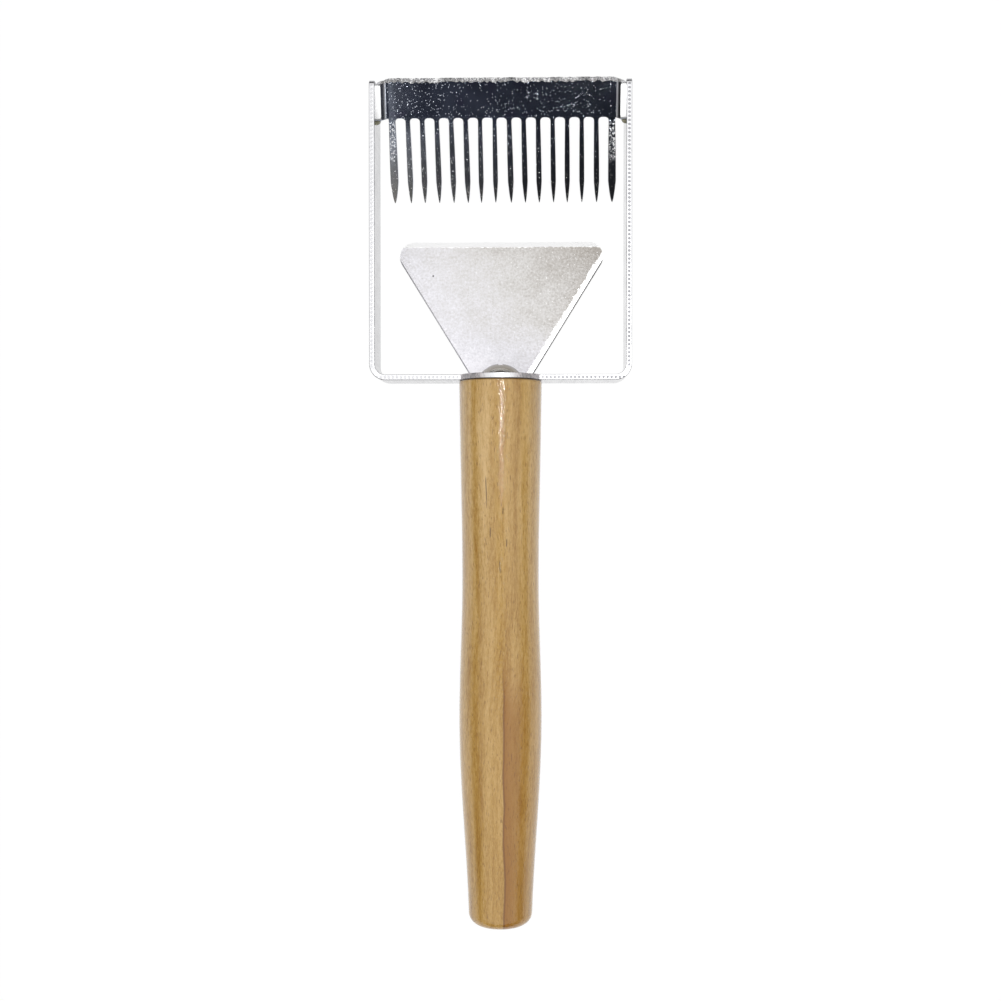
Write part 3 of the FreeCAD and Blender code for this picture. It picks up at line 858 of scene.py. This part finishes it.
class ForkSettings(bpy.types.PropertyGroup):
    """Colours of the finishes, as sRGB hex."""

    wood: StringProperty(name="Wood", description="Middle tone of the wood", default="#BF9957")
    grain_dark: StringProperty(name="Dark grain", description="Darkest streaks", default="#A0742F")
    grain_light: StringProperty(name="Light grain", description="Lightest streaks", default="#D4B178")
    butt_tint: StringProperty(name="Butt tint", description="Deepens the wood to the butt", default="#F6EFD6")
    growth_line: StringProperty(name="Growth line", description="Band beside the line", default="#9A6518")
    pore: StringProperty(name="Pores", description="Short dark vessels", default="#73481A")
    # The check colour also paints the shadow in the gap under the seat, along the wood's top edge.
    check: StringProperty(name="Checks", description="Small cracks and the dark top edge", default="#38200D")
    # The strip's two side colours paint shade, lit on the right and darker on the left; the darker one also
    # greys the specks on the sheared edges.
    strip_lit_right: StringProperty(name="Clean strip", description="Right side of the strip", default="#CBCBCD")
    strip_shaded_left_and_specks: StringProperty(name="Dull strip", description="Left side of the strip", default="#B3B3B6")
    strip_dark: StringProperty(name="Dark strip", description="Hollows in the strip", default="#85858A")
    rim: StringProperty(name="Seat rim", description="Turned rim of the seat", default="#F6EEEE")
    strip_shadow: StringProperty(name="Strip shadow", description="Line under its edge", default="#4E4E50")
    strip_edge: StringProperty(name="Strip edge", description="Sheared edges of the strip", default="#E8E8EA")
    edge_bright: StringProperty(name="Bright edge", description="Sheared edges", default="#FAFAFA")
    polished_light: StringProperty(name="Comb light", description="Comb plate", default="#B9C0D0")
    polished_dark: StringProperty(name="Comb dark", description="Comb plate", default="#8A919F")
    # Painted reflection: the darker colour that the comb's right side fades to.
    polished_right_reflection: StringProperty(name="Polished right side", description="Comb, right", default="#44484F")
    polished_violet: StringProperty(name="Comb violet", description="Comb plate tint", default="#9C94B4")
    bend_haze: StringProperty(name="Bend haze", description="Duller steel of the bends", default="#9E9C9A")
    tine_olive: StringProperty(name="Tine olive", description="Tint towards the tips", default="#8F8A7A")
    # The blade's tones paint shade, lit at the foot and darker to the upper right, over its random clouds.
    blade_foot: StringProperty(name="Blade foot", description="Bottom of the blade", default="#F9F8FC")
    blade_light: StringProperty(name="Blade light", description="Lower left of the blade", default="#E7E6EA")
    blade_mid: StringProperty(name="Blade middle", description="Middle of the blade", default="#D6D4D2")
    blade_dark: StringProperty(name="Blade dark", description="Upper right of the blade", default="#B6B1AB")
    speck: StringProperty(name="Speck", description="Dark fleck on the blade", default="#3A3836")
    screw: StringProperty(name="Screw", description="Screw head", default="#D2CCC0")
    # Painted shade on the sides of the screw head.
    screw_shaded_sides: StringProperty(name="Screw sides", description="Duller sides of the head", default="#4E483F")
    tint_straw: StringProperty(name="Straw tint", description="Weld", default="#858370")
    tint_brown: StringProperty(name="Brown tint", description="Weld", default="#4C483E")


class StudioSettings(bpy.types.PropertyGroup):
    """Sizes and levels of the studio."""

    camera_height: FloatProperty(
        name="Camera height", description="Height of the camera over the middle of the tool",
        default=0.475, unit="LENGTH",
    )
    camera_side: FloatProperty(
        name="Camera side step", description="How far the camera stands to the right",
        default=0.014, unit="LENGTH",
    )
    camera_ahead: FloatProperty(
        name="Camera step ahead", description="How far the camera stands towards the comb",
        default=0.007, unit="LENGTH",
    )
    view_width: FloatProperty(
        name="View width", description="Width the camera sees at the tool's middle height",
        default=0.3419, unit="LENGTH",
    )
    table_colour: StringProperty(name="Table", description="Acrylic, unlit", default="#141414")
    camera_shell: StringProperty(name="Camera shell", description="Body of the camera", default="#252B3A")
    ceiling: FloatProperty(name="Ceiling", description="Brightness of the white ceiling", default=1.12)
    horizon: FloatProperty(name="Horizon", description="Brightness of the dim walls", default=0.03)
    table_glow: FloatProperty(name="Table glow", description="Light from below", default=1.0)
    key_power: FloatProperty(name="Key power", description="Small key light", default=0.3, unit="POWER")


# -------------------------------------------------------------- operators

class UNCAP_OT_handle(bpy.types.Operator):
    """Finish the turned handle"""

    bl_idname = "uncap.handle"
    bl_label = "Handle"

    def execute(self, context):
        dress("handle", lacquered_rubberwood(context.scene.uncap_fork))
        return {"FINISHED"}


class UNCAP_OT_frame(bpy.types.Operator):
    """Finish the U-shaped strip"""

    bl_idname = "uncap.frame"
    bl_label = "Frame"

    def execute(self, context):
        dress("frame", rolled_stainless(context.scene.uncap_fork))
        return {"FINISHED"}


class UNCAP_OT_comb(bpy.types.Operator):
    """Finish the comb"""

    bl_idname = "uncap.comb"
    bl_label = "Comb"

    def execute(self, context):
        inner = new_piece("inner_tine", tine_mesh("inner_tine", INNER_TINE_WIDTH, 1.0, 1.0))
        left = new_piece("left_tine", tine_mesh("left_tine", OUTER_TINE_WIDTH, 0.2, 1.0))
        right = new_piece("right_tine", tine_mesh("right_tine", OUTER_TINE_WIDTH, 1.0, 0.2))
        sheet = new_piece("comb_sheet", comb_sheet_mesh())
        mesh = run_tree(sheet, comb_tree(), {
            "Inner Tine": inner, "Left Tine": left, "Right Tine": right,
            "Inner Tines": 14, "Spacing": 5.0, "Outer Place": 37.9, "Row Shift": 0.25,
            "Root Depth": COMB_BAND, "Lean": math.radians(0.8), "Lean Spread": math.radians(0.6),
            "Width Spread": 0.14, "Seed": 3, "Pitch": (COMB_TILT, 0.0, 0.0), "Place": COMB_ORIGIN,
            "Material": polished_stainless(context.scene.uncap_fork),
        })
        smooth_by_angle(mesh, 28)
        comb = new_piece("comb_steel", mesh)
        discard((inner, left, right, sheet))
        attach(comb, "root")
        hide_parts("comb")
        return {"FINISHED"}


class UNCAP_OT_scraper(bpy.types.Operator):
    """Finish the scraper blade"""

    bl_idname = "uncap.scraper"
    bl_label = "Scraper"

    def execute(self, context):
        dress("scraper", satin_stainless(context.scene.uncap_fork))
        return {"FINISHED"}


class UNCAP_OT_screw(bpy.types.Operator):
    """Finish the screw"""

    bl_idname = "uncap.screw"
    bl_label = "Screw"

    def execute(self, context):
        dress("handle_screw", polished_screw_steel(context.scene.uncap_fork))
        return {"FINISHED"}


class UNCAP_OT_welds(bpy.types.Operator):
    """Finish the weld beads"""

    bl_idname = "uncap.welds"
    bl_label = "Welds"

    def execute(self, context):
        metal = heat_tinted_weld(context.scene.uncap_fork)
        for name in ("scraper_weld", "ear_weld_left", "ear_weld_right"):
            dress(name, metal)
        return {"FINISHED"}


def light_table(studio):
    """Opal acrylic light table: evenly white, and it lights the tool a little from below."""
    material, tree, _ = new_material("opal_acrylic_table")
    surface(
        tree, Base_Color=linear(studio.table_colour), Roughness=0.9, Specular_IOR_Level=0.0,
        Emission_Color=linear(WHITE), Emission_Strength=studio.table_glow,
    )
    return material


def black_camera_body(studio):
    """Matt blue-black shell of the camera, which the polished comb mirrors."""
    material, tree, _ = new_material("matt_black_camera")
    surface(tree, Base_Color=linear(studio.camera_shell), Roughness=0.6)
    return material


def flat_sheet(name, width, depth, centre):
    """Flat rectangle facing up."""
    mesh = bpy.data.meshes.new(name)
    half_x = width / 2
    half_y = depth / 2
    corners = [(-half_x, -half_y), (half_x, -half_y), (half_x, half_y), (-half_x, half_y)]
    mesh.from_pydata([centre + Vector((cx, cy, 0)) for cx, cy in corners], [], [(0, 1, 2, 3)])
    sheet = bpy.data.objects.new(name, mesh)
    bpy.context.scene.collection.objects.link(sheet)
    return sheet


def square_light(name, place, target, size, power):
    """Square light aimed at a point."""
    lamp = bpy.data.lights.new(name, "AREA")
    lamp.shape = "SQUARE"
    lamp.size = size
    lamp.energy = power
    holder = bpy.data.objects.new(name, lamp)
    holder.location = place
    holder.rotation_euler = (target - place).to_track_quat("-Z", "Y").to_euler()
    bpy.context.scene.collection.objects.link(holder)


def place_camera(studio, eye, target):
    """Camera at a point, looking at another with +Y upwards in the view."""
    data = bpy.data.cameras.new("camera")
    data.sensor_width = SENSOR_WIDTH
    data.lens = SENSOR_WIDTH * studio.camera_height / studio.view_width
    data.clip_start = 0.01
    camera = bpy.data.objects.new("camera", data)
    ahead = (target - eye).normalized()
    right = ahead.cross(Vector((0.0, 1.0, 0.0))).normalized()
    above = right.cross(ahead)
    turn = Matrix((right, above, -ahead)).transposed().to_4x4()
    camera.matrix_world = Matrix.Translation(eye) @ turn
    bpy.context.scene.collection.objects.link(camera)
    bpy.context.scene.camera = camera


def white_room(studio):
    """Room with a white ceiling and dim walls, which draw thin dark lines round the steel."""
    world = bpy.data.worlds.new("white_room")
    world.use_nodes = True
    tree = world.node_tree
    direction = add(tree, "ShaderNodeTexCoord").outputs["Generated"]
    height = axes(tree, direction)[2]
    level = span(tree, height, WALL_TOP, CEILING_START, studio.horizon, studio.ceiling, smooth=True)
    tree.links.new(level, tree.nodes["Background"].inputs["Strength"])
    tree.nodes["Background"].inputs["Color"].default_value = linear(WHITE)
    return world


class UNCAP_OT_stage(bpy.types.Operator):
    """Set up the table, the lights and the camera"""

    bl_idname = "uncap.stage"
    bl_label = "Stage"

    def execute(self, context):
        scene = context.scene
        studio = scene.uncap_studio
        target = Vector((0.0, VIEW_MIDDLE_Y, AXIS_Z))
        eye = target + Vector((studio.camera_side, studio.camera_ahead, studio.camera_height))
        place_camera(studio, eye, target)

        table_top = Vector((0, 0, CAD_BOUNDS[0][2] - TABLE_GAP))
        table = flat_sheet("table", TABLE_SIZE, TABLE_SIZE, table_top)
        table.data.materials.append(light_table(studio))

        body = flat_sheet("camera_body", CAMERA_BODY_WIDTH, CAMERA_BODY_DEPTH, eye + CAMERA_BODY_PLACE)
        body.data.materials.append(black_camera_body(studio))
        body.visible_camera = False

        square_light("key", target + KEY_PLACE, target, KEY_SIZE, studio.key_power)
        scene.world = white_room(studio)
        scene.view_settings.view_transform = "Standard"
        return {"FINISHED"}


class UNCAP_PT_panel(bpy.types.Panel):
    """Sidebar panel that lists the steps"""

    bl_idname = "UNCAP_PT_panel"
    bl_label = "Uncapping Fork"
    bl_space_type = "VIEW_3D"
    bl_region_type = "UI"
    bl_category = "Uncapping Fork"

    def draw(self, context):
        for step in STEPS:
            self.layout.operator(step.bl_idname)


STEPS = (
    UNCAP_OT_stage, UNCAP_OT_handle, UNCAP_OT_frame, UNCAP_OT_comb,
    UNCAP_OT_scraper, UNCAP_OT_screw, UNCAP_OT_welds,
)
CLASSES = (ForkSettings, StudioSettings) + STEPS + (UNCAP_PT_panel,)


def register():
    for cls in CLASSES:
        bpy.utils.register_class(cls)
    bpy.types.Scene.uncap_fork = bpy.props.PointerProperty(type=ForkSettings)
    bpy.types.Scene.uncap_studio = bpy.props.PointerProperty(type=StudioSettings)


def unregister():
    del bpy.types.Scene.uncap_studio
    del bpy.types.Scene.uncap_fork
    for cls in reversed(CLASSES):
        bpy.utils.unregister_class(cls)


def main():
    register()
    bpy.ops.uncap.stage()
    bpy.ops.uncap.handle()
    bpy.ops.uncap.frame()
    bpy.ops.uncap.comb()
    bpy.ops.uncap.scraper()
    bpy.ops.uncap.screw()
    bpy.ops.uncap.welds()


if __name__ == "__main__":
    main()
